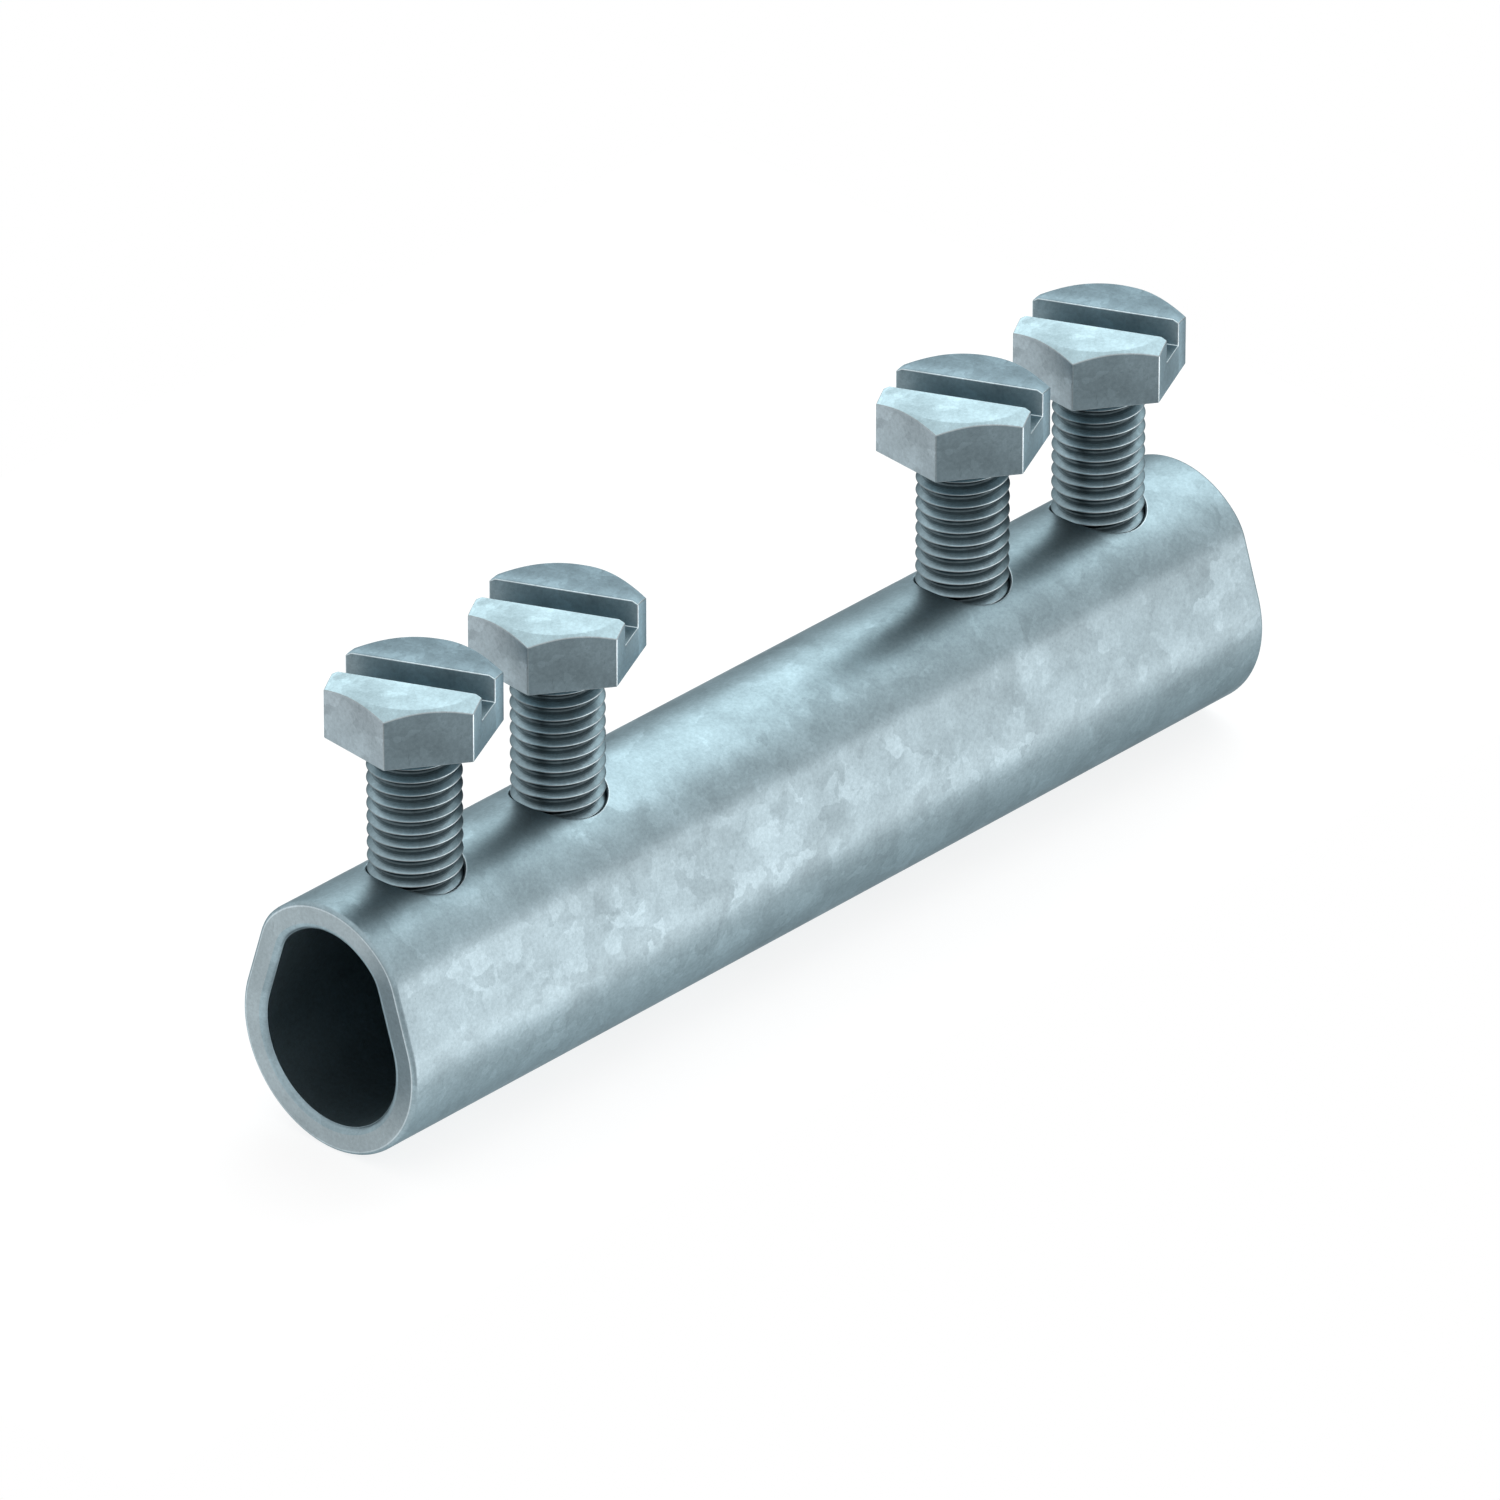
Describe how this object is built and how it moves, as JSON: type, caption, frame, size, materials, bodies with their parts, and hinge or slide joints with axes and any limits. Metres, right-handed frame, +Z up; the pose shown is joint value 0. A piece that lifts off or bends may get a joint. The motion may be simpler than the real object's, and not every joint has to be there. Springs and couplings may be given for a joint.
{
  "type": "lightning conductor connector",
  "caption": "Straight steel sleeve with a round seat that joins two round conductors end to end, clamped by slotted hex head screws along its crown.",
  "frame": {"origin": "on the axis of the round seat, halfway along the sleeve", "axes": "+X along the conductors, +Z up along the screws, towards their heads, +Y across"},
  "size_m": [0.13, 0.024, 0.0498],
  "materials": {
    "sleeve_zinc": "hot dip galvanised, dull, with soft spangle",
    "screw_zinc": "hot dip galvanised, a little brighter on the head"
  },
  "bodies": {
    "sleeve_body": {"sleeve": "sleeve_zinc"},
    "screw_1": {"clamp_screw_1": "screw_zinc"},
    "screw_2": {"clamp_screw_2": "screw_zinc"},
    "screw_3": {"clamp_screw_3": "screw_zinc"},
    "screw_4": {"clamp_screw_4": "screw_zinc"}
  },
  "joints": [
    {"name": "drive_1", "type": "slide", "parent": "sleeve_body", "child": "screw_1", "axis": [0, 0, -1], "range_m": [-0.0015, 0.015]},
    {"name": "drive_2", "type": "slide", "parent": "sleeve_body", "child": "screw_2", "axis": [0, 0, -1], "range_m": [-0.0015, 0.015]},
    {"name": "drive_3", "type": "slide", "parent": "sleeve_body", "child": "screw_3", "axis": [0, 0, -1], "range_m": [-0.0015, 0.015]},
    {"name": "drive_4", "type": "slide", "parent": "sleeve_body", "child": "screw_4", "axis": [0, 0, -1], "range_m": [-0.0015, 0.015]}
  ]
}
